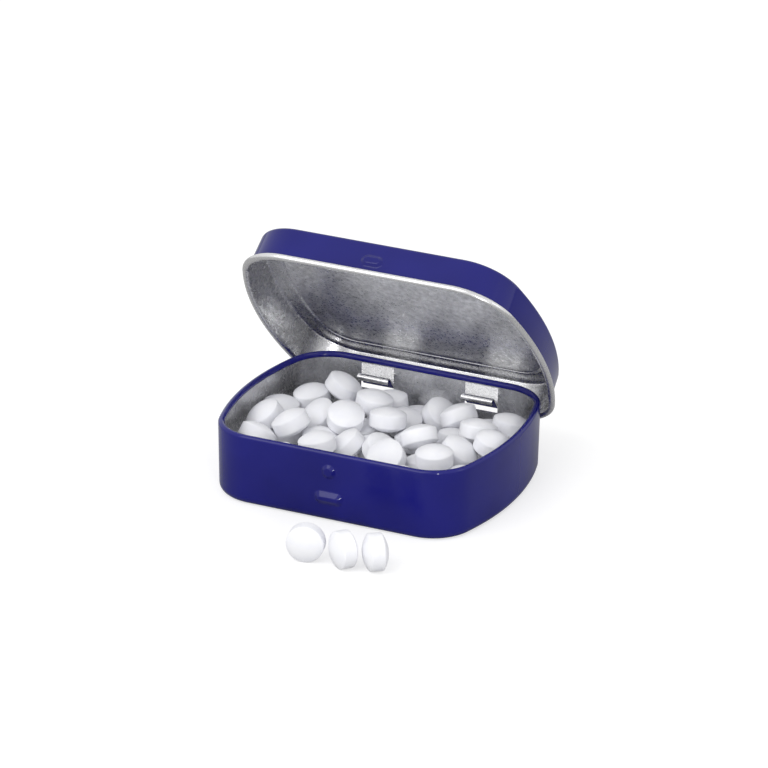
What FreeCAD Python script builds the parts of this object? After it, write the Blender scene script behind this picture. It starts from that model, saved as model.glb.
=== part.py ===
import FreeCAD, Part
import math
import os

import Sketcher

# A pocket tin of mints, lid standing open: a drawn tray, a drawn lid on two
# curled tabs, and the mints.
# Origin: centre of the tray's underside. X runs along the hinge, the hinge is
# on the +Y side, Z is up. Lengths are in millimetres, angles in degrees.

SIZES = [
    # tray
    ("tinLength", 60.0, "tray outside, end to end at the rim"),
    ("tinWidth", 48.3, "tray outside, front to rear at the rim"),
    ("rimHeight", 15.0, "top of the rolled rim"),
    ("sheetGauge", 0.22, "tinplate thickness"),
    ("endRadius", 61.4, "bow of the two end walls"),
    ("cornerRadius", 9.8, "plan corners"),
    ("wallLean", 0.22, "how far the walls lean in at the bottom"),
    ("floorEdgeRadius", 1.6, "rounding where wall meets floor, outside"),
    ("rimRollRadius", 0.66, "rim rolled inwards"),
    ("floorLap", 1.0, "flat margin of the floor beside its rounding"),
    # lid
    ("lidGap", 0.66, "running gap between tray wall and lid wall"),
    ("lidDepth", 8.2, "outside height of the lid wall"),
    ("lidLean", 0.29, "how far the lid wall leans in at the top"),
    ("lidEdgeRadius", 0.8, "rounding between lid wall and top"),
    ("lidBeadRadius", 0.70, "lid edge rolled outwards"),
    ("lidSeatGap", 0.05, "lid top above the rim when shut"),
    ("panelMargin", 3.4, "border around the raised top panel"),
    ("panelRamp", 0.7, "width of the step up to the panel"),
    ("panelRise", 0.4, "height of the step up to the panel"),
    # hinge
    ("hingeSetback", 0.85, "hinge axis behind the tray's rear wall"),
    ("hingeHeight", 8.3, "hinge axis above the underside"),
    ("openAngle", 50.7, "lid angle as it stands open"),
    ("tabSpacing", 23.3, "between the middles of the two tabs"),
    ("tabBreadth", 6.9, "tab, along the hinge"),
    ("tabReach", 4.6, "tab, from the hinge axis inwards"),
    ("tabCurlRadius", 0.8, "curl at the tab's end"),
    ("tabBendRadius", 0.5, "bend where a tab leaves the rear edge"),
    ("tabOverlap", 0.3, "tab's run into the rear wall above its bend"),
    ("slotSideGap", 0.25, "slot wider than the tab, each side"),
    ("slotSwingGap", 0.35, "slot past the sweep of the tab"),
    ("beadStop", 5.8, "lid bead ends this far short of the tray's ends"),
    # pressed bumps
    ("catchHeight", 10.9, "middle of the round catch bump"),
    ("catchBreadth", 3.2, "round catch bump, across"),
    ("catchRise", 0.5, "round catch bump, outwards"),
    ("thumbHeight", 5.1, "middle of the oval thumb bump"),
    ("thumbLength", 6.4, "oval thumb bump, along the front"),
    ("thumbBreadth", 3.0, "oval thumb bump, up and down"),
    ("thumbRise", 0.75, "oval thumb bump, outwards"),
    ("pocketLength", 4.9, "oval catch pocket in the lid's front wall"),
    ("pocketBreadth", 2.7, "oval catch pocket, up and down"),
    ("pocketRise", 0.5, "oval catch pocket, outwards"),
    ("bumpSlope", 55.0, "sides of every bump, from straight out"),
    ("bumpSides", 12.0, "sides of a bump's round, a multiple of four"),
    # mints
    ("mintDiameter", 7.6, "mint, across"),
    ("mintBand", 2.6, "straight band round a mint"),
    ("mintDome", 1.25, "dome on each face of a mint"),
    ("mintFlat", 2.8, "flat crown of a dome, across"),
    ("mintSides", 9.0, "sides of each mint's round"),
    ("mintGap", 0.03, "least air between two mints"),
    ("fillDepth", 0.1, "mints end this far below the rim"),
    ("rowPitch", 0.84, "rows of mints apart, as a share of a mint"),
    ("layTilt", 8.0, "greatest tilt of a mint in the lower layer"),
    ("topTilt", 40.0, "greatest tilt of a mint heaped on those"),
    ("leansTried", 8.0, "leans tried for each mint of the heap"),
    ("looseLeftAlong", 3.6, "left loose mint, along the front"),
    ("looseLeftAhead", 17.65, "left loose mint, ahead of the tray"),
    ("looseLeftTurn", -77.0, "left loose mint, heading of its axis"),
    ("looseMiddleAlong", 11.5, "middle loose mint, along the front"),
    ("looseMiddleAhead", 17.4, "middle loose mint, ahead of the tray"),
    ("looseMiddleTurn", 50.5, "middle loose mint, heading of its axis"),
    ("looseRightAlong", 17.6, "right loose mint, along the front"),
    ("looseRightAhead", 15.75, "right loose mint, ahead of the tray"),
    ("looseRightTurn", 37.5, "right loose mint, heading of its axis"),
]

doc = FreeCAD.newDocument("mint_tin")
sheet = doc.addObject("Spreadsheet::Sheet", "Sizes")
for row, (alias, value, note) in enumerate(SIZES, start=1):
    sheet.set("A%d" % row, alias)
    sheet.set("B%d" % row, str(value))
    sheet.set("C%d" % row, note)
    sheet.setAlias("B%d" % row, alias)
doc.recompute()


def size(expression):
    """Value of an expression over the sheet's names."""
    return float(sheet.evalExpression(expression))


def bound(expression):
    """The same expression as another object has to write it."""
    words = []
    word = ""
    for letter in expression + " ":
        if letter.isalnum():
            word += letter
            continue
        words.append("Sizes." + word if word in NAMES else word)
        words.append(letter)
        word = ""
    return "".join(words).strip()


NAMES = {alias for alias, _, _ in SIZES}
CLOSE = 1e-7

# Expressions that several pieces share.
HALF_LENGTH = "tinLength / 2"
HALF_WIDTH = "tinWidth / 2"
LID_OFFSET = "(lidGap + sheetGauge)"
LID_TOP = "(rimHeight + lidSeatGap + sheetGauge)"
LID_BOTTOM = "(rimHeight + lidSeatGap + sheetGauge - lidDepth)"
HINGE_Y = "(tinWidth / 2 + hingeSetback)"
FLOOR_INSET = "(wallLean + floorEdgeRadius)"


def planeOf(body, role):
    """One of a body's own origin planes or axes."""
    for feature in body.Origin.OriginFeatures:
        if feature.Role == role:
            return feature
    raise ValueError(role)


def newSketch(body, name, role):
    sketch = body.newObject("Sketcher::SketchObject", name)
    sketch.AttachmentSupport = [(planeOf(body, role), "")]
    sketch.MapMode = "FlatFace"
    return sketch


def bind(sketch, constraint, name, expression):
    """Add a constraint whose value follows the sheet."""
    index = sketch.addConstraint(constraint)
    sketch.renameConstraint(index, name)
    sketch.setExpression("Constraints." + name, bound(expression))


def cornerCentre(a, b, end, corner):
    """Centre of the plan corner that touches the long side and the end."""
    cy = b - corner
    return a - end + math.sqrt((end - corner) ** 2 - cy * cy), cy


def outlineSketch(body, name, offset):
    """Plan outline: straight front and rear, bowed ends, round corners, all
    tangent, grown by offset from the tray's rim."""
    a = size(HALF_LENGTH) + size(offset)
    b = size(HALF_WIDTH) + size(offset)
    end = size("endRadius") + size(offset)
    corner = size("cornerRadius") + size(offset)
    cx, cy = cornerCentre(a, b, end, corner)
    turn = math.atan2(cy, cx - (a - end))
    half = math.pi
    sketch = newSketch(body, name, "XY_Plane")

    def addArc(x, y, radius, start, stop):
        circle = Part.Circle(FreeCAD.Vector(x, y, 0), FreeCAD.Vector(0, 0, 1), radius)
        sketch.addGeometry(Part.ArcOfCircle(circle, start, stop))

    def addLine(x, y):
        sketch.addGeometry(Part.LineSegment(FreeCAD.Vector(x, y, 0), FreeCAD.Vector(-x, y, 0)))

    addArc(a - end, 0, end, 0, turn)
    addArc(cx, cy, corner, turn, half / 2)
    addLine(cx, b)
    addArc(-cx, cy, corner, half / 2, half - turn)
    addArc(end - a, 0, end, half - turn, half + turn)
    addArc(-cx, -cy, corner, half + turn, 1.5 * half)
    addLine(-cx, -b)
    addArc(cx, -cy, corner, 1.5 * half, 2 * half - turn)
    addArc(a - end, 0, end, 2 * half - turn, 2 * half)
    for index in range(9):
        sketch.addConstraint(Sketcher.Constraint("Tangent", index, 2, (index + 1) % 9, 1))
    for index in (0, 4):
        sketch.addConstraint(Sketcher.Constraint("PointOnObject", index, 3, -1))
    sketch.addConstraint(Sketcher.Constraint("PointOnObject", 0, 1, -1))
    for index in (2, 6):
        sketch.addConstraint(Sketcher.Constraint("Horizontal", index))
    endX = "endRadius - tinLength / 2"
    sideY = "tinWidth / 2 + " + offset
    bind(sketch, Sketcher.Constraint("DistanceX", 0, 3, -1, 1, end - a), "rightEnd", endX)
    bind(sketch, Sketcher.Constraint("DistanceX", -1, 1, 4, 3, end - a), "leftEnd", endX)
    bind(sketch, Sketcher.Constraint("DistanceY", -1, 1, 2, 1, b), "rearSide", sideY)
    bind(sketch, Sketcher.Constraint("DistanceY", 6, 1, -1, 1, b), "frontSide", sideY)
    for index in (0, 4, 8):
        bind(sketch, Sketcher.Constraint("Radius", index, end), "end%d" % index, "endRadius + " + offset)
    for index in (1, 3, 5, 7):
        bind(sketch, Sketcher.Constraint("Radius", index, corner), "corner%d" % index, "cornerRadius + " + offset)
    return sketch


def sectionSketch(body, name, role, loop):
    """Closed section. Each entry is (x, y) or (x, y, radius, turn): the last
    two make the way to the next point an arc, turning left (1) or right (-1)."""
    sketch = newSketch(body, name, role)
    points = [FreeCAD.Vector(size(entry[0]), size(entry[1]), 0) for entry in loop]
    count = len(points)
    for index, entry in enumerate(loop):
        start = points[index]
        stop = points[(index + 1) % count]
        if len(entry) == 2:
            sketch.addGeometry(Part.LineSegment(start, stop))
            continue
        radius = size(entry[2])
        chord = stop - start
        half = chord.Length / 2
        left = FreeCAD.Vector(-chord.y, chord.x, 0).normalize()
        height = math.sqrt(max(radius * radius - half * half, 0))
        middle = (start + stop) / 2 - left * entry[3] * (radius - height)
        sketch.addGeometry(Part.Arc(start, middle, stop))
    for index, entry in enumerate(loop):
        arc = sketch.Geometry[index].TypeId == "Part::GeomArcOfCircle"
        flipped = arc and (sketch.getPoint(index, 1) - points[index]).Length > CLOSE
        stop = 1 if flipped else 2
        following = (index + 1) % count
        nextFlipped = (sketch.getPoint(following, 1) - points[following]).Length > CLOSE
        sketch.addConstraint(Sketcher.Constraint("Coincident", index, stop, following, 2 if nextFlipped else 1))
        start = 2 if flipped else 1
        x, y = points[index].x, points[index].y
        pin(sketch, "DistanceX", index, start, x, "x%d" % index, entry[0])
        pin(sketch, "DistanceY", index, start, y, "y%d" % index, entry[1])
        if arc:
            bind(sketch, Sketcher.Constraint("Radius", index, size(entry[2])), "r%d" % index, entry[2])
    return sketch


def pin(sketch, kind, index, point, value, name, expression):
    """Hold a point's distance from the sketch origin, on either side of it."""
    if abs(value) < CLOSE:
        axis = -2 if kind == "DistanceX" else -1
        sketch.addConstraint(Sketcher.Constraint("PointOnObject", index, point, axis))
        return
    bind(sketch, Sketcher.Constraint(kind, -1, 1, index, point, value), name, expression)


def roundOff(x, z, radius, start, corners, turn):
    """Section corners of a rounding about (x, z), drawn with flats that touch
    the true round. Each corner turns the section by turn degrees."""
    far = "(%s / cos(%g / 2))" % (radius, turn)
    points = []
    for index in range(corners):
        heading = start + (index + 0.5) * turn
        points.append((
            "%s + %s * cos(%g)" % (x, far, heading),
            "%s + %s * sin(%g)" % (z, far, heading),
        ))
    return points


def sweepRound(body, name, section, outline):
    pipe = body.newObject("PartDesign::AdditivePipe", name)
    pipe.Profile = section
    pipe.Spine = outline
    return pipe


def padUp(body, name, sketch, length):
    pad = body.newObject("PartDesign::Pad", name)
    pad.Profile = sketch
    pad.setExpression("Length", bound(length))
    return pad


# ---------------------------------------------------------------- tray shell
tray = doc.addObject("PartDesign::Body", "TrayShell")
trayOutline = outlineSketch(tray, "TrayOutline", "0")
rollMiddle = "tinLength / 2 - rimRollRadius"
rollHeight = "rimHeight - rimRollRadius"
floorX = "tinLength / 2 - " + FLOOR_INSET
traySection = sectionSketch(
    tray, "TraySection", "XZ_Plane",
    roundOff(floorX, "floorEdgeRadius", "floorEdgeRadius", -90, 3, 30)
    + roundOff(rollMiddle, rollHeight, "rimRollRadius", -45, 8, 45)
    + [("tinLength / 2 - sheetGauge", rollHeight + " - rimRollRadius * tan(45 / 2) - sheetGauge")]
    + roundOff(floorX, "floorEdgeRadius", "(floorEdgeRadius - sheetGauge)", 0, 3, -30)
    + [(floorX + " - floorLap", "sheetGauge"), (floorX + " - floorLap", "0")],
)
doc.recompute()
sweepRound(tray, "TrayWall", traySection, trayOutline)
floorOutline = outlineSketch(tray, "FloorOutline", "(0 - %s - floorLap / 2)" % FLOOR_INSET)
padUp(tray, "TrayFloor", floorOutline, "sheetGauge")
doc.recompute()


def pocketThrough(body, name, sketch):
    """Cut from the sketch plane out through the rear."""
    pocket = body.newObject("PartDesign::Pocket", name)
    pocket.Profile = sketch
    pocket.Type = "ThroughAll"
    return pocket


def rectangle(left, right, low, high):
    return [(left, low), (right, low), (right, high), (left, high)]


# slots in the tray's rear wall, one for each tab
slotHalf = "(tabBreadth / 2 + slotSideGap)"
slotSketch = sectionSketch(tray, "SlotSketch", "XZ_Plane", rectangle(
    "tabSpacing / 2 - " + slotHalf,
    "tabSpacing / 2 + " + slotHalf,
    "hingeHeight - sheetGauge - slotSwingGap",
    "hingeHeight + tabReach + slotSwingGap",
))
slot = pocketThrough(tray, "Slot", slotSketch)
slots = tray.newObject("PartDesign::Mirrored", "Slots")
slots.Originals = [slot]
slots.MirrorPlane = (planeOf(tray, "YZ_Plane"), [""])
tray.Tip = slots

# ----------------------------------------------------------------- lid shell
lid = doc.addObject("PartDesign::Body", "LidShell")
lidOutline = outlineSketch(lid, "LidOutline", LID_OFFSET)
innerX = "tinLength / 2 + lidGap"
beadZ = LID_BOTTOM + " + lidBeadRadius"
topX = "tinLength / 2 + lidGap + sheetGauge - lidLean"
lidSection = sectionSketch(
    lid, "LidSection", "XZ_Plane",
    roundOff(innerX + " + lidBeadRadius", beadZ, "lidBeadRadius", 180, 7, 45)
    + [(innerX + " + sheetGauge", beadZ + " + lidBeadRadius * tan(45 / 2) + sheetGauge")]
    + roundOff(topX + " - lidEdgeRadius", LID_TOP + " - lidEdgeRadius", "lidEdgeRadius", 0, 2, 45)
    + [
        (topX + " - panelMargin", LID_TOP),
        (topX + " - panelMargin - panelRamp", LID_TOP + " + panelRise"),
        (topX + " - panelMargin - panelRamp - floorLap", LID_TOP + " + panelRise"),
        (topX + " - panelMargin - panelRamp - floorLap", LID_TOP + " + panelRise - sheetGauge"),
        (topX + " - panelMargin - panelRamp", LID_TOP + " + panelRise - sheetGauge"),
        (topX + " - panelMargin", LID_TOP + " - sheetGauge"),
    ]
    + roundOff(topX + " - lidEdgeRadius", LID_TOP + " - lidEdgeRadius",
               "(lidEdgeRadius - sheetGauge)", 90, 2, -45),
)
doc.recompute()
sweepRound(lid, "LidWall", lidSection, lidOutline)
panelOffset = "(lidGap + sheetGauge - lidLean - panelMargin - panelRamp - floorLap / 2)"
panelOutline = outlineSketch(lid, "PanelOutline", panelOffset)
panelOutline.setExpression("AttachmentOffset.Base.z", bound(LID_TOP + " + panelRise - sheetGauge"))
padUp(lid, "Panel", panelOutline, "sheetGauge")
doc.recompute()

# the rolled edge stops short of the rear wall, where only the tabs go lower
rearEdge = "(hingeHeight - sheetGauge + tabBendRadius)"
reliefSketch = sectionSketch(lid, "ReliefSketch", "XZ_Plane", rectangle(
    "beadStop - tinLength / 2",
    "tinLength / 2 - beadStop",
    LID_BOTTOM + " - lidBeadRadius",
    rearEdge,
))
relief = pocketThrough(lid, "Relief", reliefSketch)
doc.recompute()

# each tab leaves the rear edge, bends through its slot and ends in a curl
backY = "(tinWidth / 2 + lidGap + sheetGauge)"
bendY = backY + " - tabBendRadius"
curlY = "(" + HINGE_Y + " - tabReach + tabCurlRadius)"
curlZ = "hingeHeight - tabCurlRadius"
rootLean = "tabOverlap * lidLean / lidDepth"
tabSketch = sectionSketch(lid, "TabSketch", "YZ_Plane", [
    (backY + " - " + rootLean, rearEdge + " + tabOverlap"),
    (backY, rearEdge, "tabBendRadius", -1),
    (bendY, "hingeHeight - sheetGauge"),
    (curlY, "hingeHeight - sheetGauge", "tabCurlRadius - sheetGauge", 1),
    (curlY + " - tabCurlRadius + sheetGauge", curlZ, "tabCurlRadius - sheetGauge", 1),
    (curlY, curlZ + " - tabCurlRadius + sheetGauge"),
    (curlY, curlZ + " - tabCurlRadius", "tabCurlRadius", -1),
    (curlY + " - tabCurlRadius", curlZ, "tabCurlRadius", -1),
    (curlY, "hingeHeight"),
    (bendY, "hingeHeight", "tabBendRadius - sheetGauge", 1),
    (backY + " - sheetGauge", rearEdge),
    (backY + " - sheetGauge - " + rootLean, rearEdge + " + tabOverlap"),
])
tabSketch.setExpression("AttachmentOffset.Base.z", bound("tabSpacing / 2"))
tab = padUp(lid, "Tab", tabSketch, "tabBreadth")
tab.Midplane = True
tabs = lid.newObject("PartDesign::Mirrored", "Tabs")
tabs.Originals = [tab]
tabs.MirrorPlane = (planeOf(lid, "YZ_Plane"), [""])
lid.Tip = tabs
doc.recompute()


# --------------------------------------------------------------- pressed bumps
def boss(name, face, height, half, radius, rise):
    """Oval boss with sloping sides, standing out from a front wall whose face
    is at y = face. Its ends are many-sided cones on either side of a wedge."""
    crown = "(%s - %s * tan(bumpSlope))" % (radius, rise)
    parts = []
    for side in (-1, 1):
        end = doc.addObject("Part::Loft", "%sEnd%d" % (name, len(parts)))
        rounds = []
        for reach, ahead in ((radius, "0"), (crown, rise)):
            rim = doc.addObject("Part::RegularPolygon", "%sRound%d" % (end.Name, len(rounds)))
            rim.setExpression("Polygon", bound("bumpSides"))
            rim.setExpression("Circumradius", bound(reach))
            rim.Placement.Rotation = FreeCAD.Rotation(FreeCAD.Vector(1, 0, 0), 90)
            rim.setExpression("Placement.Base.x", bound("%d * %s" % (side, half)))
            rim.setExpression("Placement.Base.y", bound("%s - %s" % (face, ahead)))
            rim.setExpression("Placement.Base.z", bound(height))
            rounds.append(rim)
        end.Sections = rounds
        end.Solid = True
        end.Ruled = True
        parts.append(end)
        if size(half) < CLOSE:
            return end
    ridge = doc.addObject("Part::Wedge", name + "Ridge")
    for edge, value in (("Xmin", "0 - " + half), ("X2min", "0 - " + half), ("Xmax", half), ("X2max", half),
                        ("Ymin", "0"), ("Ymax", rise), ("Zmin", "0 - " + radius), ("Zmax", radius),
                        ("Z2min", "0 - " + crown), ("Z2max", crown)):
        ridge.setExpression(edge, bound(value))
    ridge.Placement.Rotation = FreeCAD.Rotation(FreeCAD.Vector(0, 0, 1), 180)
    ridge.setExpression("Placement.Base.y", bound(face))
    ridge.setExpression("Placement.Base.z", bound(height))
    whole = doc.addObject("Part::MultiFuse", name)
    whole.Shapes = parts + [ridge]
    return whole


def pressBump(shell, name, face, height, length, breadth, rise):
    """Press a hollow bump outwards from a shell's front wall."""
    half = "((%s - %s) / 2)" % (length, breadth)
    radius = "(%s / 2)" % breadth
    sink = "(sheetGauge / 2)"
    outer = boss(name + "Outer", "(%s + %s)" % (face, sink), height, half,
                 "(%s + %s * tan(bumpSlope))" % (radius, sink), "(%s + %s)" % (rise, sink))
    raised = doc.addObject("Part::Fuse", name + "Raised")
    raised.Base = shell
    raised.Tool = outer
    shrink = "(sheetGauge / cos(bumpSlope))"
    deep = "(2 * sheetGauge)"
    pressed = doc.addObject("Part::Cut", name)
    pressed.Base = raised
    pressed.Tool = boss(name + "Inner", "(%s + %s)" % (face, deep), height, half,
                        "(%s - %s + %s * tan(bumpSlope))" % (radius, shrink, deep),
                        "(%s - sheetGauge + %s)" % (rise, deep))
    return pressed


def trayFace(height):
    """Outer face of the tray's front wall at a height."""
    climb = "(%s - floorEdgeRadius) / (rimHeight - rimRollRadius - floorEdgeRadius)" % height
    return "(wallLean * (1 - %s) - tinWidth / 2)" % climb


def lidFace(height):
    """Outer face of the shut lid's front wall at a height."""
    climb = "(%s - %s) / (lidDepth - lidEdgeRadius)" % (height, LID_BOTTOM)
    return "(lidLean * %s - tinWidth / 2 - lidGap - sheetGauge)" % climb


catchBump = pressBump(tray, "CatchBump", trayFace("catchHeight"), "catchHeight",
                      "catchBreadth", "catchBreadth", "catchRise")
base = pressBump(catchBump, "ThumbBump", trayFace("thumbHeight"), "thumbHeight",
                 "thumbLength", "thumbBreadth", "thumbRise")
cover = pressBump(lid, "CatchPocket", lidFace("catchHeight"), "catchHeight",
                  "pocketLength", "pocketBreadth", "pocketRise")
doc.recompute()

hinge = FreeCAD.Vector(0, size(HINGE_Y), size("hingeHeight"))
swing = FreeCAD.Rotation(FreeCAD.Vector(1, 0, 0), -size("openAngle"))
cover.Placement = FreeCAD.Placement(FreeCAD.Vector(0, 0, 0), swing, hinge)
base.Label = "tin_base"
cover.Label = "tin_lid"
doc.recompute()

# ----------------------------------------------------------------------- mints
# Each mint is a many-sided lozenge: a straight band between two low domes.
mint = doc.addObject("PartDesign::Body", "Mint")
block = mint.newObject("PartDesign::AdditivePrism", "MintBlock")
block.setExpression("Polygon", bound("mintSides"))
block.setExpression("Circumradius", bound("mintDiameter / 2"))
block.setExpression("Height", bound("mintBand + 2 * mintDome"))
block.AttachmentSupport = [(planeOf(mint, "XY_Plane"), "")]
block.MapMode = "FlatFace"
block.setExpression("AttachmentOffset.Base.z", bound("0 - mintBand / 2 - mintDome"))
doc.recompute()
crowns = []
for number, face in enumerate(block.Shape.Faces, start=1):
    if abs(face.normalAt(0, 0).z) > 0.5:
        crowns.append("Face%d" % number)
domes = mint.newObject("PartDesign::Chamfer", "MintDomes")
domes.Base = (block, crowns)
domes.ChamferType = "Two distances"
domes.setExpression("Size", bound("mintDome"))
domes.setExpression("Size2", bound("(mintDiameter - mintFlat) / 2 * cos(180 / mintSides)"))
doc.recompute()

# A mint lies within a turned lozenge: flat crowns, sloping domes, a straight
# band. Air between two mints is worked out from those.
mintRadius = size("mintDiameter / 2")
bandHalf = size("mintBand / 2")
mintHalf = bandHalf + size("mintDome")
crownRadius = size("mintFlat / 2")
air = size("mintGap")
slopeOut = mintRadius - crownRadius
slopeDown = bandHalf - mintHalf
slopeLength = slopeOut ** 2 + slopeDown ** 2
SEARCH_STEPS = 16


def nearestInMint(point, centre, axis):
    px = point[0] - centre[0]
    py = point[1] - centre[1]
    pz = point[2] - centre[2]
    rise = px * axis[0] + py * axis[1] + pz * axis[2]
    px -= rise * axis[0]
    py -= rise * axis[1]
    pz -= rise * axis[2]
    away = math.sqrt(px * px + py * py + pz * pz)
    nearRise = abs(rise)
    nearAway = away
    if away <= crownRadius:
        nearRise = min(nearRise, mintHalf)
    elif nearRise <= bandHalf:
        nearAway = min(away, mintRadius)
    elif (away - crownRadius) * slopeDown < (nearRise - mintHalf) * slopeOut:
        share = ((away - crownRadius) * slopeOut + (nearRise - mintHalf) * slopeDown) / slopeLength
        share = max(0.0, min(1.0, share))
        nearAway = crownRadius + share * slopeOut
        nearRise = mintHalf + share * slopeDown
    if rise < 0:
        nearRise = -nearRise
    share = nearAway / away if away > CLOSE else 1.0
    return (
        centre[0] + px * share + nearRise * axis[0],
        centre[1] + py * share + nearRise * axis[1],
        centre[2] + pz * share + nearRise * axis[2],
    )


def airBetween(centre, axis, otherCentre, otherAxis):
    """Least distance between two mints: step to and fro between them, leaping
    further ahead for as long as that brings the points nearer."""
    spot = nearestInMint(centre, otherCentre, otherAxis)
    near = nearestInMint(spot, centre, axis)
    pace = 1.0
    for _ in range(SEARCH_STEPS):
        plain = nearestInMint(near, otherCentre, otherAxis)
        plainNear = nearestInMint(plain, centre, axis)
        ahead = [here + pace * (here - before) for here, before in zip(plain, spot)]
        spot = nearestInMint(ahead, otherCentre, otherAxis)
        near = nearestInMint(spot, centre, axis)
        if math.dist(spot, near) < math.dist(plain, plainNear):
            pace *= 2
        else:
            pace = 1.0
            spot, near = plain, plainNear
        if math.dist(spot, near) < CLOSE:
            break
    return math.dist(spot, near)


def spread(tilt):
    """How far a mint tilted from lying flat reaches sideways."""
    steep = math.radians(tilt)
    return max(mintRadius * math.cos(steep) + bandHalf * math.sin(steep),
               crownRadius * math.cos(steep) + mintHalf * math.sin(steep))


def low(tilt):
    """Height of a tilted mint's middle above its lowest point."""
    steep = math.radians(tilt)
    return max(mintRadius * math.sin(steep) + bandHalf * math.cos(steep),
               crownRadius * math.sin(steep) + mintHalf * math.cos(steep))


def dropHeight(x, y, axis, resting, laid):
    """Height at which a mint coming down at (x, y) first meets those laid. It
    comes down each time by the air that is left, so it can't pass through."""
    height = resting
    span = 2 * math.hypot(mintRadius, bandHalf) + air
    for centre, otherAxis in laid:
        aside = math.hypot(x - centre[0], y - centre[1])
        if aside > span:
            continue
        z = centre[2] + math.sqrt(span * span - aside * aside)
        while z > height:
            left = airBetween((x, y, z), axis, centre, otherAxis) - air
            if left < air / 10:
                height = z
                break
            z -= left
    return height


def depthInside(x, y, inset):
    """Distance from a plan point to the tray outline drawn in by inset."""
    a = size(HALF_LENGTH) - inset
    b = size(HALF_WIDTH) - inset
    end = size("endRadius") - inset
    corner = size("cornerRadius") - inset
    cx, cy = cornerCentre(a, b, end, corner)
    x = abs(x)
    y = abs(y)
    if x > cx and y > cy:
        return corner - math.hypot(x - cx, y - cy)
    return min(end - math.hypot(x - (a - end), y), b - y)


def nearTab(x, y, top):
    """Whether a mint that reaches up to top would stand in a tab's sweep."""
    if top < size("hingeHeight - 2 * tabCurlRadius - slotSwingGap"):
        return False
    beside = abs(abs(x) - size("tabSpacing") / 2) - size("tabBreadth") / 2
    behind = size(HINGE_Y) - size("tabReach") - y
    return math.hypot(max(beside, 0), max(behind, 0)) < mintRadius + air


def leaning(tilt, heading):
    """Axis of a mint tilted from upright towards a heading."""
    steep = math.sin(math.radians(tilt))
    return (steep * math.cos(heading), steep * math.sin(heading), math.cos(math.radians(tilt)))


wallInset = size("sheetGauge + wallLean")
fillHeight = size("rimHeight - fillDepth")
# From one mint to the next the heading turns by the golden angle. A mint too
# near the wall is moved in by a small share at a time. No mint is dropped
# within a share of a mint's radius of one that lies already.
GOLDEN = math.pi * (3 - math.sqrt(5))
NUDGE = 0.995
SPARED = 0.9


def lattice():
    """Places for the lower layer: rows across the tray, every other one
    shifted by half a place."""
    across = size(HALF_LENGTH) - wallInset - mintRadius - air
    along = size(HALF_WIDTH) - wallInset - mintRadius - air
    columns = max(int(across / mintRadius), 1)
    rows = max(int(along / (mintRadius * size("rowPitch"))), 1)
    places = []
    for row in range(rows + 1):
        shifted = row % 2
        for column in range(columns + 1 - shifted):
            x = across * (2 * column + shifted - columns) / columns
            places.append((x, along * (2 * row - rows) / rows))
    return places


def layMint(x, y, lean, heading, laid):
    """A mint dropped at (x, y), moved in until it clears the wall, or None
    where it would stand above the fill or in a tab's way."""
    while depthInside(x, y, wallInset) < spread(lean) + air:
        x *= NUDGE
        y *= NUDGE
    axis = leaning(lean, heading)
    height = dropHeight(x, y, axis, size("sheetGauge") + air + low(lean), laid)
    if height + low(lean) > fillHeight or nearTab(x, y, height + low(lean)):
        return None
    return (x, y, height), axis


def layLower():
    """The lower layer, nearly flat on the floor."""
    laid = []
    for number, (x, y) in enumerate(lattice()):
        heading = GOLDEN * number
        lean = size("layTilt") * abs(math.sin(number))
        found = layMint(x, y, lean, heading, laid)
        if found and math.dist(found[0][:2], (x, y)) < mintRadius / 3:
            laid.append(found)
    return laid


def crestAt(x, y, laid):
    """Height a ball about as big as a mint would rest at over a plan point."""
    height = low(0)
    width = low(0) + mintRadius
    for centre, _ in laid:
        away = math.hypot(x - centre[0], y - centre[1])
        if away < width:
            height = max(height, centre[2] + math.sqrt(width * width - away * away))
    return height


def heapUp(lower):
    """Drop mints one by one into the lowest hollow left, until none fits under
    the fill, and give the new ones. Each takes the lean that lets it sink most."""
    step = mintRadius / 2
    columns = int(size(HALF_LENGTH) / step)
    rows = int(size(HALF_WIDTH) / step)
    places = []
    for column in range(-columns, columns + 1):
        for row in range(-rows, rows + 1):
            if depthInside(column * step, row * step, wallInset) > mintRadius + air:
                places.append((column * step, row * step))
    laid = list(lower)
    while places:
        lowest = min(places, key=lambda place: crestAt(*place, laid))
        places.remove(lowest)
        tried = []
        for attempt in range(int(size("leansTried"))):
            heading = GOLDEN * (len(places) + attempt)
            lean = size("topTilt") * abs(math.sin(len(places) + attempt))
            found = layMint(*lowest, lean, heading, laid)
            if found:
                tried.append(found)
        if tried:
            sunk = min(tried, key=lambda found: found[0][2])
            laid.append(sunk)
            places = [place for place in places if math.dist(place, sunk[0][:2]) > mintRadius * SPARED]
    return laid[len(lower):]


def placeMint(name, centre, axis):
    copy = doc.addObject("Part::Refine", name)
    copy.Source = mint
    turned = FreeCAD.Rotation(FreeCAD.Vector(0, 0, 1), FreeCAD.Vector(*axis))
    copy.Placement = FreeCAD.Placement(FreeCAD.Vector(*centre), turned)
    return copy


lower = layLower()
upper = heapUp(lower)
pieces = [base, cover]
below = doc.addObject("Part::Compound", "LowerMints")
below.Links = [placeMint("Low%d" % number, *spot) for number, spot in enumerate(lower)]
below.Label = "mints_lower"
pieces.append(below)
for number, spot in enumerate(upper, start=1):
    pieces.append(placeMint("mint_%02d" % number, *spot))

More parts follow.
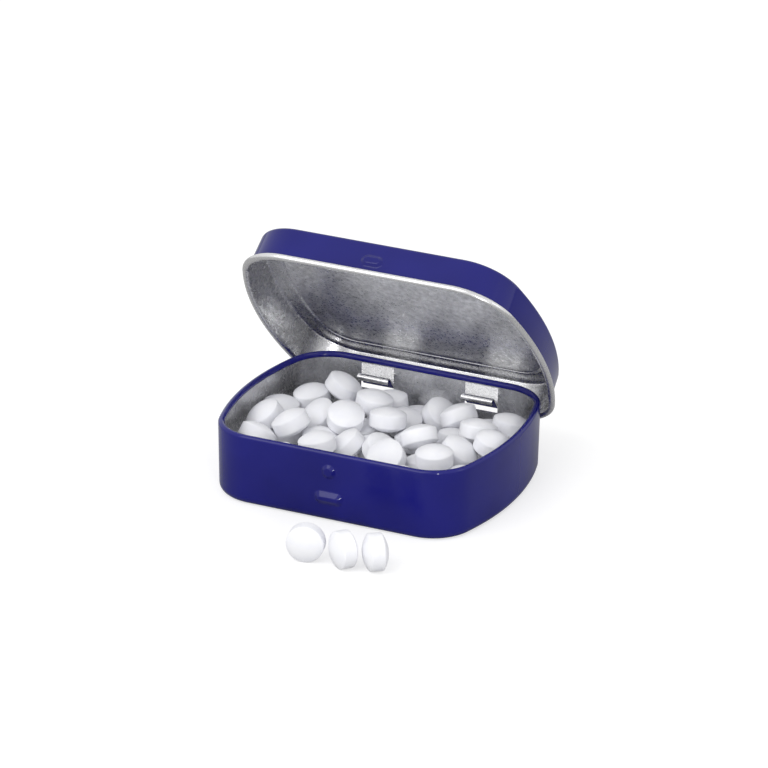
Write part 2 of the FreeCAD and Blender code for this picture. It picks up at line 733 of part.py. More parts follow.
# three mints stand on their bands in front of the tray
standing = size("mintDiameter / 2 * cos(180 / mintSides)")
upright = FreeCAD.Rotation(FreeCAD.Vector(0, 1, 0), 90)
onBand = FreeCAD.Rotation(FreeCAD.Vector(0, 0, 1), size("0 - 180 / mintSides"))
for name, where in (("loose_mint_left", "looseLeft"), ("loose_mint_middle", "looseMiddle"),
                    ("loose_mint_right", "looseRight")):
    copy = doc.addObject("Part::Refine", name)
    copy.Source = mint
    turned = FreeCAD.Rotation(FreeCAD.Vector(0, 0, 1), size(where + "Turn"))
    spot = FreeCAD.Vector(size(where + "Along"), size("0 - tinWidth / 2 - " + where + "Ahead"), standing)
    copy.Placement = FreeCAD.Placement(spot, turned.multiply(upright).multiply(onBand))
    pieces.append(copy)
doc.recompute()

for thing in doc.Objects:
    if "Invalid" in thing.State or "Error" in thing.State:
        raise RuntimeError("%s failed" % thing.Name)
os.makedirs("parts", exist_ok=True)
for piece in pieces:
    if piece.Shape.isNull() or not piece.Shape.isValid():
        raise RuntimeError("%s has no valid shape" % piece.Label)
for piece in pieces:
    piece.Shape.exportStep("parts/%s.step" % piece.Label)
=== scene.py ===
import math

import bpy
from mathutils import Matrix, Vector


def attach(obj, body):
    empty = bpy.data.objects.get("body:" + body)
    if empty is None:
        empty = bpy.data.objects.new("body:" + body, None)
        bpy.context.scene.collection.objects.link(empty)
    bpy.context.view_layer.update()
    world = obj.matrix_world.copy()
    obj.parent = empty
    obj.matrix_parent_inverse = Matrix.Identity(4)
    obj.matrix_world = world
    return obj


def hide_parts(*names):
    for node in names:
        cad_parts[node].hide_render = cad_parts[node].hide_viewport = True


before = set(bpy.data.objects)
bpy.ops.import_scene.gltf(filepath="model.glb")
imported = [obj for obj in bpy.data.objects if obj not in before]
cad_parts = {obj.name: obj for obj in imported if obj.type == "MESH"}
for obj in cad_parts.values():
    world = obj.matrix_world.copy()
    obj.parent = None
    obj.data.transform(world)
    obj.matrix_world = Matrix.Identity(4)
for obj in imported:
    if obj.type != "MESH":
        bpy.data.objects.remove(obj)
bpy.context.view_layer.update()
mm = 0.001
nearby = 0.01 * mm                 # how near counts as on a line
farOut = 20 * mm                   # only the front and rear walls lie further out than this
print("frame loaded,", len(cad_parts), "nodes")


# materials: each is built from its own nodes, on object coordinates

def startMaterial(name, settings):
    # a principled surface with its object coordinates ready
    material = bpy.data.materials.new(name)
    material.use_nodes = True
    nodes = material.node_tree.nodes
    surface = nodes["Principled BSDF"]
    for socket, value in settings.items():
        surface.inputs[socket].default_value = value
    place = nodes.new("ShaderNodeTexCoord")
    return material, surface, place.outputs["Object"]


def addNoise(material, place, scale, detail, stretch=(1, 1, 1)):
    # cloudy noise, drawn out along an axis where stretch is small
    nodes, links = material.node_tree.nodes, material.node_tree.links
    mapping = nodes.new("ShaderNodeMapping")
    mapping.inputs["Scale"].default_value = stretch
    noise = nodes.new("ShaderNodeTexNoise")
    noise.inputs["Scale"].default_value = scale
    noise.inputs["Detail"].default_value = detail
    links.new(place, mapping.inputs["Vector"])
    links.new(mapping.outputs["Vector"], noise.inputs["Vector"])
    return noise.outputs["Fac"]


def addRamp(material, value, first, last):
    # from one colour to another along a value, each stop a position and a colour
    nodes, links = material.node_tree.nodes, material.node_tree.links
    ramp = nodes.new("ShaderNodeValToRGB")
    for element, (position, color) in zip(ramp.color_ramp.elements, (first, last)):
        element.position = position
        element.color = color
    links.new(value, ramp.inputs["Fac"])
    return ramp.outputs["Color"]


def addRange(material, value, low, high, fromLow=0.3, fromHigh=0.7):
    # a value stretched over a new range
    nodes, links = material.node_tree.nodes, material.node_tree.links
    spread = nodes.new("ShaderNodeMapRange")
    spread.inputs["From Min"].default_value = fromLow
    spread.inputs["From Max"].default_value = fromHigh
    spread.inputs["To Min"].default_value = low
    spread.inputs["To Max"].default_value = high
    links.new(value, spread.inputs["Value"])
    return spread.outputs["Result"]


def addBump(material, surface, heights):
    # one bump after another, each with its own strength and height
    nodes, links = material.node_tree.nodes, material.node_tree.links
    last = None
    for value, strength, distance in heights:
        bump = nodes.new("ShaderNodeBump")
        bump.inputs["Strength"].default_value = strength
        bump.inputs["Distance"].default_value = distance
        links.new(value, bump.inputs["Height"])
        if last:
            links.new(last, bump.inputs["Normal"])
        last = bump.outputs["Normal"]
    links.new(last, surface.inputs["Normal"])


def grey(value):
    # metal is a touch bluer than plain grey
    return (value, value, value * 1.01, 1)


# the patches in which edges are rubbed and painted lighter as a highlight, on every finish
edgePatches = {"size": 700, "detail": 5.0, "spread": (0.42, 0.66)}


def addWearAndEdgeHighlight(material, place, color, settings):
    # raised edges rub through to a worn colour and get a painted highlight, broken up by noise
    nodes, links = material.node_tree.nodes, material.node_tree.links
    shape = nodes.new("ShaderNodeNewGeometry")
    sharpness = shape.outputs["Pointiness"]
    edge = addRange(material, sharpness, 0.0, settings["wearAndHighlight"], *settings["edges"])
    patches = addNoise(material, place, edgePatches["size"], edgePatches["detail"])
    wornAndLit = addRange(material, patches, 0.0, 1.0, *edgePatches["spread"])
    both, mix = nodes.new("ShaderNodeMath"), nodes.new("ShaderNodeMix")
    both.operation = "MULTIPLY"
    mix.data_type = "RGBA"
    links.new(edge, both.inputs[0])
    links.new(wornAndLit, both.inputs[1])
    links.new(both.outputs["Value"], mix.inputs["Factor"])
    links.new(color, mix.inputs["A"])
    mix.inputs["B"].default_value = settings["wornAndLit"]
    return mix.outputs["Result"]


# blue enamel: deep gloss, a faint orange peel, soft smears, rubbed a little on its edges, where
# a highlight is also painted
enamel = {
    "deep": (0.0060, 0.0064, 0.136, 1),
    "bright": (0.0095, 0.0100, 0.174, 1),
    # edge colour: rubbed paint and a painted highlight
    "wornAndLit": (0.050, 0.050, 0.300, 1),
    "gloss": (0.06, 0.13),
    "sheen": 0.31,
    "tint": 60,                    # noise sizes: tint, smears and orange peel
    "smears": 90,
    "smearStretch": (1, 1, 2.5),
    "peel": 900,
    "peelBump": (0.03, 0.01 * mm),
    "edges": (0.515, 0.58),        # how sharp an edge is where wear and the painted highlight start and are full
    "wearAndHighlight": 0.35,
}


def makeEnamel(name, settings):
    gloss = {"IOR": 1.5, "Specular IOR Level": settings["sheen"]}
    material, surface, place = startMaterial(name, gloss)
    tint = addNoise(material, place, settings["tint"], 2.0)
    smear = addNoise(material, place, settings["smears"], 4.0, settings["smearStretch"])
    peel = addNoise(material, place, settings["peel"], 1.0)
    links = material.node_tree.links
    paint = addRamp(material, tint, (0.35, settings["deep"]), (0.65, settings["bright"]))
    links.new(addWearAndEdgeHighlight(material, place, paint, settings), surface.inputs["Base Color"])
    links.new(addRange(material, smear, *settings["gloss"]), surface.inputs["Roughness"])
    addBump(material, surface, [(peel, *settings["peelBump"])])
    return material


# bare tinplate: drawn smooth and bright on the walls
tinplate = {
    "dark": grey(0.64),
    "pale": grey(0.75),
    # edge colour: rubbed metal and a painted highlight
    "wornAndLit": grey(0.86),
    "gloss": (0.24, 0.30),
    "clouds": 110,
    "grain": 1500,
    "grainBump": (0.012, 0.02 * mm),
    "cloudBump": (0.006, 0.04 * mm),
    "edges": (0.52, 0.60),
    "wearAndHighlight": 0.6,
}
# the flat of the lid is duller, with mottles and a coarser grain
mottledTin = {
    "dark": grey(0.66),
    "pale": grey(0.98),
    # edge colour: rubbed metal and a painted highlight
    "wornAndLit": grey(0.98),
    "gloss": (0.20, 0.46),
    "clouds": 850,
    "grain": 2600,
    "grainBump": (0.10, 0.02 * mm),
    "cloudBump": (0.06, 0.04 * mm),
    "edges": (0.52, 0.60),
    "wearAndHighlight": 0.6,
}


def makeTinplate(name, settings):
    material, surface, place = startMaterial(name, {"Metallic": 1.0})
    clouds = addNoise(material, place, settings["clouds"], 5.0)
    grain = addNoise(material, place, settings["grain"], 3.0, (0.8, 1, 1))
    links = material.node_tree.links
    metal = addRamp(material, clouds, (0.30, settings["dark"]), (0.70, settings["pale"]))
    links.new(addWearAndEdgeHighlight(material, place, metal, settings), surface.inputs["Base Color"])
    links.new(addRange(material, grain, *settings["gloss"]), surface.inputs["Roughness"])
    heights = [(grain, *settings["grainBump"]), (clouds, *settings["cloudBump"])]
    addBump(material, surface, heights)
    return material


# pressed sugar: chalky white, fine pits, edges a shade lighter, as powder and as a painted
# highlight
sugar = {
    "powder": (0.930, 0.935, 0.980, 1),
    "white": (0.962, 0.966, 0.995, 1),
    # edge colour: rubbed powder and a painted highlight
    "wornAndLit": (0.972, 0.975, 0.995, 1),
    "rough": (0.45, 0.7),
    "sheen": 0.3,
    "grains": 420,
    "grainBump": (0.10, 0.04 * mm),
    "pits": 1800,
    "pitBump": (0.20, 0.02 * mm),
    "edges": (0.52, 0.56),
    "wearAndHighlight": 0.8,
}


def makeSugar(name, settings):
    material, surface, place = startMaterial(name, {"Specular IOR Level": settings["sheen"]})
    grains = addNoise(material, place, settings["grains"], 5.0)
    pits = addNoise(material, place, settings["pits"], 4.0)
    links = material.node_tree.links
    chalk = addRamp(material, grains, (0.35, settings["powder"]), (0.6, settings["white"]))
    links.new(addWearAndEdgeHighlight(material, place, chalk, settings), surface.inputs["Base Color"])
    links.new(addRange(material, pits, *settings["rough"]), surface.inputs["Roughness"])
    addBump(material, surface, [(grains, *settings["grainBump"]), (pits, *settings["pitBump"])])
    return material


enamelBlue = makeEnamel("enamelBlue", enamel)
bareTin = makeTinplate("bareTin", tinplate)
lidFlatTin = makeTinplate("lidFlatTin", mottledTin)
pressedSugar = makeSugar("pressedSugar", sugar)
print("materials made")


# drawing a section and running it round the tin

def emptyPiece(name, materials):
    # a new object with no mesh yet, left in edit mode
    bpy.ops.object.select_all(action="DESELECT")
    bpy.ops.mesh.primitive_plane_add(size=mm, location=(0, 0, 0))
    piece = bpy.context.active_object
    piece.name = piece.data.name = name
    for material in materials:
        piece.data.materials.append(material)
    bpy.ops.object.mode_set(mode="EDIT")
    bpy.ops.mesh.select_mode(type="VERT")
    bpy.ops.mesh.select_all(action="SELECT")
    bpy.ops.mesh.delete(type="VERT")
    return piece


def putPoint(x, z):
    # one loose vertex to draw on from; all that is there already is hidden
    bpy.ops.mesh.select_all(action="SELECT")
    bpy.ops.mesh.hide()
    bpy.ops.mesh.primitive_plane_add(size=mm, location=(x, 0, z))
    bpy.ops.mesh.merge(type="CENTER")
    return x, z


def drawTo(start, stop, steps=1):
    # a straight run of edges from the selected vertex
    for _ in range(steps):
        step = ((stop[0] - start[0]) / steps, 0, (stop[1] - start[1]) / steps)
        bpy.ops.mesh.extrude_vertices_move(TRANSFORM_OT_translate={"value": step})
    return stop


def drawArc(start, centre, degrees, steps):
    # an arc in the XZ plane, anticlockwise seen from the front
    angle = math.radians(degrees)
    bpy.ops.mesh.spin(steps=steps, angle=angle, axis=(0, 1, 0),
                      center=(centre[0], 0, centre[1]))
    dx, dz = start[0] - centre[0], start[1] - centre[1]
    return (centre[0] + dx * math.cos(angle) - dz * math.sin(angle),
            centre[1] + dx * math.sin(angle) + dz * math.cos(angle))


def runRound(plan, rearStops, frontStops, rearCorner=1.0):
    # the section goes once round the outline: bowed ends, round corners, straight sides
    farX, farY, endX = plan["cornerX"], plan["cornerY"], plan["endX"]
    turn = math.atan2(farY, farX - endX)
    rest = math.pi / 2 - turn

    def swing(angle, steps, x, y):
        # spin turns clockwise for a positive angle
        bpy.ops.mesh.spin(steps=steps, angle=-angle, center=(x, y, 0), axis=(0, 0, 1))

    def slide(stops):
        for start, stop in zip(stops, stops[1:]):
            step = (stop - start, 0, 0)
            bpy.ops.mesh.extrude_region_move(TRANSFORM_OT_translate={"value": step})

    bpy.ops.mesh.select_all(action="SELECT")
    swing(turn, plan["endSteps"], endX, 0)
    swing(rest * rearCorner, plan["cornerSteps"], farX, farY)
    if rearCorner < 1:
        swing(rest * (1 - rearCorner), plan["cornerSteps"] // 2, farX, farY)
    slide([farX] + rearStops + [-farX])
    if rearCorner < 1:
        swing(rest * (1 - rearCorner), plan["cornerSteps"] // 2, -farX, farY)
    swing(rest * rearCorner, plan["cornerSteps"], -farX, farY)
    swing(2 * turn, 2 * plan["endSteps"], -endX, 0)
    swing(rest, plan["cornerSteps"], -farX, -farY)
    slide([-farX] + frontStops + [farX])
    swing(rest, plan["cornerSteps"], farX, -farY)
    swing(turn, plan["endSteps"], endX, 0)


def paintVisible(piece, index):
    # what isn't hidden gets one of the piece's materials
    bpy.ops.mesh.select_all(action="SELECT")
    piece.active_material_index = index
    bpy.ops.object.material_slot_assign()


def chooseFaces(piece, test):
    # select the faces whose middle passes a test
    bpy.ops.mesh.select_mode(type="FACE")
    bpy.ops.mesh.select_all(action="DESELECT")
    bpy.ops.object.mode_set(mode="OBJECT")
    for face in piece.data.polygons:
        face.select = test(face.center)
    bpy.ops.object.mode_set(mode="EDIT")


def choosePoints(piece, test):
    # select the vertices that pass a test
    bpy.ops.mesh.select_mode(type="VERT")
    bpy.ops.mesh.select_all(action="DESELECT")
    bpy.ops.object.mode_set(mode="OBJECT")
    for vertex in piece.data.vertices:
        vertex.select = test(vertex.co)
    bpy.ops.object.mode_set(mode="EDIT")


def joinSkins(piece):
    # both skins become one closed sheet
    bpy.ops.mesh.reveal()
    bpy.ops.mesh.select_all(action="SELECT")
    bpy.ops.mesh.remove_doubles(threshold=nearby / 2)
    bpy.ops.mesh.fill_holes(sides=0)
    bpy.ops.mesh.normals_make_consistent(inside=False)


def bridgeCut(piece, test):
    # close the cut edge between the two skins
    choosePoints(piece, test)
    bpy.ops.mesh.select_mode(type="EDGE")
    bpy.ops.mesh.bridge_edge_loops()


def pressOut(piece, height, rise, halfRow, crown, flank):
    # push an oval bump out of a front wall, both skins together: a flat crown, sloping flanks
    def onCrown(co):
        away = math.hypot(max(abs(co.x) - halfRow, 0), co.z - height)
        return co.y < -farOut and away <= crown

    choosePoints(piece, onCrown)
    bpy.ops.transform.translate(value=(0, -rise, 0), use_proportional_edit=True,
                                proportional_edit_falloff="LINEAR", proportional_size=flank)


def finishPiece(piece, degrees=40):
    # back to object mode, shaded smooth except at real corners
    bpy.ops.mesh.select_all(action="DESELECT")
    bpy.ops.object.mode_set(mode="OBJECT")
    bpy.ops.object.select_all(action="DESELECT")
    piece.select_set(True)
    bpy.context.view_layer.objects.active = piece
    bpy.ops.object.origin_set(type="ORIGIN_CURSOR")
    bpy.ops.object.transform_apply(location=True, rotation=True, scale=True)
    bpy.ops.object.shade_smooth_by_angle(angle=math.radians(degrees))


def stopsAround(middle, half, step):
    # even stops over a stretch, both ends included
    count = max(round(2 * half / step), 1)
    return [middle - half + 2 * half * index / count for index in range(count + 1)]


# the plan of the tin, shared by tray and lid
plan = {
    "halfLength": 30 * mm,
    "halfWidth": 24.15 * mm,
    "endX": (30 - 61.4) * mm,      # centre of the right end's bow
    "cornerX": 18.1648 * mm,       # centres of the round corners
    "cornerY": 14.35 * mm,
    "endSteps": 8,
    "cornerSteps": 20,
}


# the tray: one sheet, rolled inwards at the rim, with two slots behind and two bumps in front
tray = {
    "gauge": 0.22 * mm,
    "rim": 15 * mm,
    "roll": 0.66 * mm,
    "lean": 0.22 * mm,
    "floorEdge": 1.6 * mm,
    "flat": 27.2 * mm,             # how far out the plain floor goes
    "slotHeights": (7.73 * mm, 13.25 * mm),
    "slotSides": (7.95 * mm, 15.35 * mm),
    "frontEnds": 9 * mm,           # plain stretches of the front start here
    "fineHalf": 4 * mm,            # and the fine middle ends here
    "fineStep": 0.14 * mm,
    "catch": {"height": 10.9 * mm, "rise": 0.5 * mm, "halfRow": 0,
              "crown": 0.89 * mm, "flank": 0.71 * mm},
    "thumb": {"height": 5.1 * mm, "rise": 0.75 * mm, "halfRow": 1.7 * mm,
              "crown": 0.43 * mm, "flank": 1.07 * mm},
}
trayTin = emptyPiece("trayTin", [enamelBlue, bareTin])
gauge, rollX = tray["gauge"], plan["halfLength"] - tray["roll"]
rollZ = tray["rim"] - tray["roll"]
lowX = plan["halfLength"] - tray["lean"]
bendX = lowX - tray["floorEdge"]
slotLow, slotHigh = tray["slotHeights"]
slotIn, slotOut = tray["slotSides"]
slotStops = [slotOut, slotIn, -slotIn, -slotOut]
frontStops = stopsAround(0, tray["fineHalf"], tray["fineStep"])
frontStops = [-tray["frontEnds"]] + frontStops + [tray["frontEnds"]]


def trayWall(z, inset):
    share = (z - tray["floorEdge"]) / (rollZ - tray["floorEdge"])
    return lowX + tray["lean"] * share - inset, z


# painted side: under the floor, up the wall and right round the roll
tip = putPoint(tray["flat"], 0)
tip = drawTo(tip, (bendX, 0))
tip = drawArc(tip, (bendX, tray["floorEdge"]), 90, 8)
for z, steps in ((slotLow, 44), (slotHigh, 40), (rollZ, 3)):
    tip = drawTo(tip, trayWall(z, 0), steps)
rollTurn = 360 - math.degrees(math.acos((tray["roll"] - gauge) / tray["roll"]))
rollEnd = drawArc(tip, (rollX, rollZ), rollTurn, 30)
runRound(plan, slotStops, frontStops)
paintVisible(trayTin, 0)
# bare side: down the wall and over the floor
tip = putPoint(*rollEnd)
for z, steps in ((slotHigh, 2), (slotLow, 40), (tray["floorEdge"], 44)):
    tip = drawTo(tip, trayWall(z, gauge), steps)
tip = drawArc(tip, (bendX, tray["floorEdge"]), -90, 8)
drawTo(tip, (tray["flat"], gauge))
runRound(plan, slotStops, frontStops)
paintVisible(trayTin, 1)
joinSkins(trayTin)

# two slots behind
def inSlot(co, side, slack):
    across = slotIn - slack < side * co.x < slotOut + slack
    return co.y > farOut and across and slotLow - slack < co.z < slotHigh + slack


chooseFaces(trayTin, lambda middle: inSlot(middle, 1, 0) or inSlot(middle, -1, 0))
bpy.ops.mesh.delete(type="FACE")
for side in (-1, 1):
    bridgeCut(trayTin, lambda co: inSlot(co, side, nearby))
# the floor's top is bare: one face, whose middle is the tin's
chooseFaces(trayTin, lambda middle: abs(middle.z - gauge) < nearby
            and middle.xy.length < 5 * mm)
trayTin.active_material_index = 1
bpy.ops.object.material_slot_assign()
for bump in (tray["catch"], tray["thumb"]):
    pressOut(trayTin, **bump)
finishPiece(trayTin)
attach(trayTin, "tray")
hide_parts("tin_base")
print("tray done,", len(trayTin.data.polygons), "faces")


# the lid: drawn as it sits shut, then swung open about the hinge
lid = {
    "gap": 0.66 * mm,
    "gauge": 0.22 * mm,
    "low": 7.07 * mm,
    "high": 15.27 * mm,
    "lean": 0.29 * mm,
    "edge": 0.8 * mm,
    "bead": 0.70 * mm,
    "margin": 3.4 * mm,
    "ramp": 0.7 * mm,
    "rise": 0.4 * mm,
    "rearEdge": 8.58 * mm,
    "beadStop": 24.2 * mm,         # the bead ends here, either side, behind
    "stopSlack": 0.002,            # radians either side of the bead's end
    "overlap": 1 * mm,             # the panel's flat goes in this far from the step
    "tabSides": (8.2 * mm, 15.1 * mm),
    "tabBend": 0.5 * mm,
    "tabCurl": 0.7 * mm,
    "curlY": 21.2 * mm,
    "frontEnds": 9 * mm,
    "fineHalf": 3.2 * mm,
    "fineStep": 0.14 * mm,
    "pocket": {"height": 10.9 * mm, "rise": 0.5 * mm, "halfRow": 1.1 * mm,
               "crown": 0.64 * mm, "flank": 0.71 * mm},
    "hinge": (0, 25 * mm, 8.3 * mm),
    "open": 50.7,                  # degrees, as in the photograph
}
lidTin = emptyPiece("lidTin", [enamelBlue, bareTin, lidFlatTin])
gauge = lid["gauge"]
innerX = plan["halfLength"] + lid["gap"]
outerX = innerX + gauge
topX = outerX - lid["lean"]
beadX, beadZ = innerX + lid["bead"], lid["low"] + lid["bead"]
edgeX, edgeZ = topX - lid["edge"], lid["high"] - lid["edge"]
panelX, rampX = topX - lid["margin"] - lid["ramp"], topX - lid["margin"]
rampTurn = 2 * math.degrees(math.atan2(lid["rise"], lid["ramp"]))
rampRadii = lid["ramp"] / math.sin(math.radians(rampTurn))
rampTight = (rampRadii - gauge) / 2
tabIn, tabOut = lid["tabSides"]
tabStops = [tabOut, tabIn, -tabIn, -tabOut]
pocketStops = stopsAround(0, lid["fineHalf"], lid["fineStep"])
pocketStops = [-lid["frontEnds"]] + pocketStops + [lid["frontEnds"]]
beadSwing = math.acos((lid["beadStop"] - plan["cornerX"]) / (innerX - plan["cornerX"]))
endTurn = math.atan2(plan["cornerY"], plan["cornerX"] - plan["endX"])
cornerShare = (beadSwing - endTurn) / (math.pi / 2 - endTurn)


def lidWall(z, low, inset):
    share = (z - low) / (edgeZ - low)
    return outerX - inset + (topX - outerX) * share, z


# bare side: under the panel, over the step, down the wall and round the bead
underside = lid["high"] - gauge
tip = putPoint(panelX - lid["overlap"], underside + lid["rise"])
tip = drawTo(tip, (panelX, underside + lid["rise"]))
tip = drawArc(tip, (panelX, tip[1] - rampTight), -rampTurn, 6)
tip = drawArc(tip, (rampX, underside + rampTight + gauge), rampTurn, 6)
tip = drawTo(tip, (edgeX, underside), 3)
tip = drawArc(tip, (edgeX, edgeZ), -90, 8)
tip = drawTo(tip, lidWall(lid["rearEdge"], beadZ, gauge), 42)
tip = drawTo(tip, (innerX, beadZ), 3)
beadTurn = 360 - math.degrees(math.acos((lid["bead"] - gauge) / lid["bead"]))
beadEnd = drawArc(tip, (beadX, beadZ), beadTurn, 30)
runRound(plan, tabStops, pocketStops, cornerShare)
paintVisible(lidTin, 1)
# painted side: up the wall and over the top
tip = putPoint(*beadEnd)
tip = drawTo(tip, lidWall(lid["rearEdge"], beadEnd[1], 0), 1)
tip = drawTo(tip, (topX, edgeZ), 42)
tip = drawArc(tip, (edgeX, edgeZ), 90, 8)
tip = drawTo(tip, (rampX, lid["high"]), 3)
tip = drawArc(tip, (rampX, lid["high"] + rampTight), -rampTurn, 6)
tip = drawArc(tip, (panelX, lid["high"] + lid["rise"] - rampTight - gauge), rampTurn, 6)
drawTo(tip, (panelX - lid["overlap"], lid["high"] + lid["rise"]))
runRound(plan, tabStops, pocketStops, cornerShare)
paintVisible(lidTin, 0)
joinSkins(lidTin)
# the flat of the panel is duller inside
chooseFaces(lidTin, lambda middle: abs(middle.z - underside - lid["rise"]) < nearby / 10)
lidTin.active_material_index = 2
bpy.ops.object.material_slot_assign()


# behind, the bead stops short and the wall ends higher
def rearOfStop(co, slack):
    swing = math.atan2(co.y - plan["cornerY"], abs(co.x) - plan["cornerX"])
    return co.y > plan["cornerY"] and swing > beadSwing - slack


def atRearEdge(co):
    return abs(co.z - lid["rearEdge"]) < nearby


chooseFaces(lidTin, lambda middle: rearOfStop(middle, 0) and middle.z < lid["rearEdge"])
bpy.ops.mesh.delete(type="FACE")
bridgeCut(lidTin, lambda co: rearOfStop(co, lid["stopSlack"]) and atRearEdge(co))
choosePoints(lidTin, lambda co: rearOfStop(co, lid["stopSlack"])
             and co.z < lid["rearEdge"] + nearby)
bpy.ops.mesh.fill_holes(sides=0)

# each tab bends in from the rear edge and ends in a curl
bendY = plan["halfWidth"] + lid["gap"] + gauge - lid["tabBend"]
curlZ = lid["rearEdge"] - lid["tabBend"] + gauge - lid["tabCurl"]
chooseFaces(lidTin, lambda middle: middle.y > farOut and atRearEdge(middle)
            and tabIn < abs(middle.x) < tabOut)
bpy.ops.mesh.spin(steps=8, angle=math.radians(90), axis=(1, 0, 0),
                  center=(0, bendY, lid["rearEdge"]))
bpy.ops.mesh.extrude_region_move(TRANSFORM_OT_translate={"value": (0, lid["curlY"] - bendY, 0)})
bpy.ops.mesh.spin(steps=16, angle=math.radians(-180), axis=(1, 0, 0),
                  center=(0, lid["curlY"], curlZ))
pressOut(lidTin, **lid["pocket"])
bpy.ops.mesh.select_all(action="SELECT")
# rotate turns the other way round for a positive angle
bpy.ops.transform.rotate(value=math.radians(lid["open"]), orient_axis="X",
                         center_override=lid["hinge"])
finishPiece(lidTin)
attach(lidTin, "lid")
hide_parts("tin_lid")
print("lid done,", len(lidTin.data.polygons), "faces")


# one mint, turned from its half section, then copied to every place in the CAD model
mint = {
    "radius": 3.785 * mm,
    "half": 2.55 * mm,
    "band": 1.1 * mm,              # half the straight band
    "round": 0.35 * mm,            # soft corner between band and dome
    "turns": 36,
    "crownReach": 3.3 * mm,        # a CAD mint's points this near its middle are on a crown
    "crownAcross": 3 * mm,         # and two this near each other are on the same one
}
coreX, domeHigh = mint["radius"] - mint["round"], mint["half"] - mint["band"]
domeRadius = domeHigh ** 2 + coreX ** 2 - mint["round"] ** 2
domeRadius = domeRadius / (2 * (domeHigh - mint["round"]))
domeTurn = math.degrees(math.asin(coreX / (domeRadius - mint["round"])))
mintShape = emptyPiece("mintShape", [pressedSugar])
tip = putPoint(0, -mint["half"])
tip = drawArc(tip, (0, domeRadius - mint["half"]), domeTurn, 8)
tip = drawArc(tip, (coreX, -mint["band"]), 90 - domeTurn, 4)
tip = drawTo(tip, (mint["radius"], mint["band"]), 3)
tip = drawArc(tip, (coreX, mint["band"]), 90 - domeTurn, 4)
drawArc(tip, (0, mint["half"] - domeRadius), domeTurn, 8)
bpy.ops.mesh.select_all(action="SELECT")
bpy.ops.mesh.spin(steps=mint["turns"], angle=2 * math.pi, center=(0, 0, 0), axis=(0, 0, 1))
joinSkins(mintShape)
finishPiece(mintShape, 60)


def mintPlaces(node):
    # middle and axis of every mint in a CAD node, read from a split copy of it
    source = bpy.data.objects.new("mintCopy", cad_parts[node].data.copy())
    bpy.context.collection.objects.link(source)
    bpy.ops.object.select_all(action="DESELECT")
    source.select_set(True)
    bpy.context.view_layer.objects.active = source
    bpy.ops.object.mode_set(mode="EDIT")
    bpy.ops.mesh.select_all(action="SELECT")
    bpy.ops.mesh.remove_doubles(threshold=nearby / 2)
    bpy.ops.mesh.separate(type="LOOSE")
    bpy.ops.object.mode_set(mode="OBJECT")
    places = []
    for part in list(bpy.context.selected_objects):
        points = [vertex.co.copy() for vertex in part.data.vertices]
        middle = sum(points, Vector()) / len(points)
        # the flat crowns are the points nearest the middle, in two rings
        crowns = [point for point in points if (point - middle).length < mint["crownReach"]]
        ring = [point for point in crowns if (point - crowns[0]).length < mint["crownAcross"]]
        places.append((middle, (sum(ring, Vector()) / len(ring) - middle).normalized()))
    bpy.ops.object.delete()
    return places


def layMint(middle, axis):
    # a copy of the mint with its own mesh, its place kept in the mesh
    bpy.ops.object.select_all(action="DESELECT")
    mintShape.select_set(True)
    bpy.context.view_layer.objects.active = mintShape
    bpy.ops.object.duplicate()
    copy = bpy.context.active_object
    copy.rotation_euler = axis.to_track_quat("Z", "Y").to_euler()
    copy.location = middle
    bpy.ops.object.transform_apply(location=True, rotation=True, scale=True)
    return copy


for node in sorted(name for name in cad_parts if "mint" in name):
    spots = mintPlaces(node)
    if node.startswith("loose"):
        # a round mint stands a little higher than one with flats
        spots[0][0].z = mint["radius"]
    laid = [layMint(*spot) for spot in spots]
    bpy.ops.object.select_all(action="DESELECT")
    for copy in laid:
        copy.select_set(True)
    bpy.context.view_layer.objects.active = laid[0]
    if len(laid) > 1:
        bpy.ops.object.join()
    laid[0].name = laid[0].data.name = "smooth_" + node
    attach(laid[0], node + "_body" if node.startswith("loose") else "tray")
    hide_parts(node)
bpy.data.objects.remove(mintShape)
print("mints laid")


# stage: a white floor that goes on as a white world, and soft lamps
stage = {
    "floorSize": 3.0,
    "floorWhite": (0.52, 0.52, 0.52, 1),
    "floorRough": 0.9,
    "floorGlow": 0.60,             # the camera sees the floor this much brighter
    "ambient": 0.72,
    "lampAim": (0, 0, 10 * mm),
    "lamps": [
        # name, place, width, height, watts
        ("front", (-0.30, -0.80, 0.90), 0.9, 0.9, 5.6),
        ("strip", (0.62, -0.87, 0.24), 0.08, 0.42, 2.4),
        ("right", (1.00, 0.05, 0.50), 0.30, 0.30, 0.5),
    ],
}
bpy.ops.object.select_all(action="DESELECT")
bpy.ops.mesh.primitive_plane_add(size=stage["floorSize"], location=(0, 0, 0))
floor = bpy.context.active_object
floor.name = "floor"


def makeFloor(name):
    material, surface = startMaterial(name, {
        "Base Color": stage["floorWhite"],
        "Roughness": stage["floorRough"],
        "Specular IOR Level": 0.0,
    })[:2]
    nodes, links = material.node_tree.nodes, material.node_tree.links
    glow, add = nodes.new("ShaderNodeEmission"), nodes.new("ShaderNodeAddShader")
    rays, level = nodes.new("ShaderNodeLightPath"), nodes.new("ShaderNodeMath")
    level.operation = "MULTIPLY"
    level.inputs[1].default_value = stage["floorGlow"]
    links.new(rays.outputs["Is Camera Ray"], level.inputs[0])
    links.new(level.outputs["Value"], glow.inputs["Strength"])
    links.new(surface.outputs["BSDF"], add.inputs[0])
    links.new(glow.outputs["Emission"], add.inputs[1])
    links.new(add.outputs["Shader"], nodes["Material Output"].inputs["Surface"])
    return material


floor.data.materials.append(makeFloor("floorWhite"))


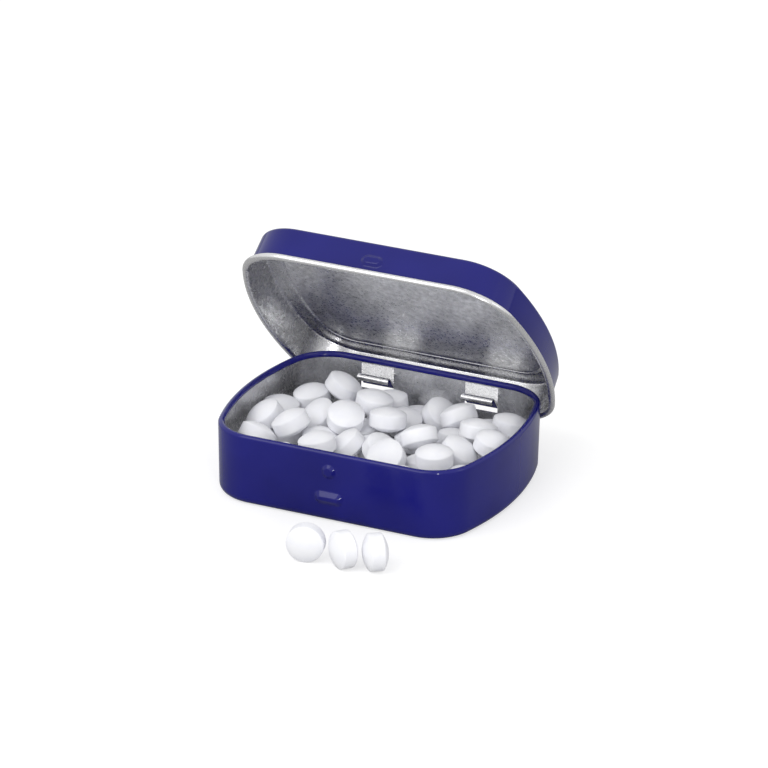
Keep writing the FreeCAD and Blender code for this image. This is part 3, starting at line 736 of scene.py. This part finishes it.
def makeWorld(name):
    # lights at the ambient level, and shows white to the camera, in metal and through glass
    world = bpy.data.worlds.new(name)
    world.use_nodes = True
    nodes, links = world.node_tree.nodes, world.node_tree.links
    plain, shown = nodes["Background"], nodes.new("ShaderNodeBackground")
    for background, strength in ((plain, stage["ambient"]), (shown, 1.0)):
        background.inputs["Color"].default_value = (1, 1, 1, 1)
        background.inputs["Strength"].default_value = strength
    rays, pick = nodes.new("ShaderNodeLightPath"), nodes.new("ShaderNodeMixShader")
    chosen = rays.outputs["Is Camera Ray"]
    for ray in ("Is Glossy Ray", "Is Transmission Ray"):
        either = nodes.new("ShaderNodeMath")
        either.operation = "MAXIMUM"
        links.new(chosen, either.inputs[0])
        links.new(rays.outputs[ray], either.inputs[1])
        chosen = either.outputs["Value"]
    links.new(chosen, pick.inputs["Fac"])
    links.new(plain.outputs["Background"], pick.inputs[1])
    links.new(shown.outputs["Background"], pick.inputs[2])
    links.new(pick.outputs["Shader"], nodes["World Output"].inputs["Surface"])
    return world


bpy.context.scene.world = makeWorld("whiteRoom")

for name, where, width, height, watts in stage["lamps"]:
    aim = (Vector(stage["lampAim"]) - Vector(where)).to_track_quat("-Z", "Y").to_euler()
    bpy.ops.object.light_add(type="AREA", location=where, rotation=aim)
    lamp = bpy.context.active_object
    lamp.name = lamp.data.name = name
    lamp.data.shape = "RECTANGLE"
    lamp.data.size, lamp.data.size_y = width, height
    lamp.data.energy = watts

bpy.context.scene.view_settings.view_transform = "Standard"


# camera at the photograph's angle
view = {
    "azimuth": 24.5547,
    "elevation": 23.2175,
    "roll": 0.7058,
    "distance": 1049.765 * mm,
    "aim": (0, 0, 8 * mm),
    "shiftRight": 0.848 * mm,
    "shiftUp": 11.468 * mm,
    "pixels": 5224.7,              # focal length in pixels of the frame
    "frame": 768,
    "sensor": 36,
}
azimuth, elevation, roll = (math.radians(view[key]) for key in ("azimuth", "elevation", "roll"))
flatBack = Vector((math.sin(azimuth), -math.cos(azimuth), 0))
back = flatBack * math.cos(elevation) + Vector((0, 0, math.sin(elevation)))
level = (-back).cross(Vector((0, 0, 1))).normalized()
upward = level.cross(-back)
right = level * math.cos(roll) + upward * math.sin(roll)
up = upward * math.cos(roll) - level * math.sin(roll)
eye = Vector(view["aim"]) + back * view["distance"]
eye += right * view["shiftRight"] + up * view["shiftUp"]
facing = Matrix((right, up, back)).transposed()
bpy.ops.object.camera_add(location=eye, rotation=facing.to_euler())
camera = bpy.context.active_object
camera.data.sensor_width = view["sensor"]
camera.data.lens = view["pixels"] * view["sensor"] / view["frame"]
bpy.context.scene.camera = camera

print("stage and camera set")
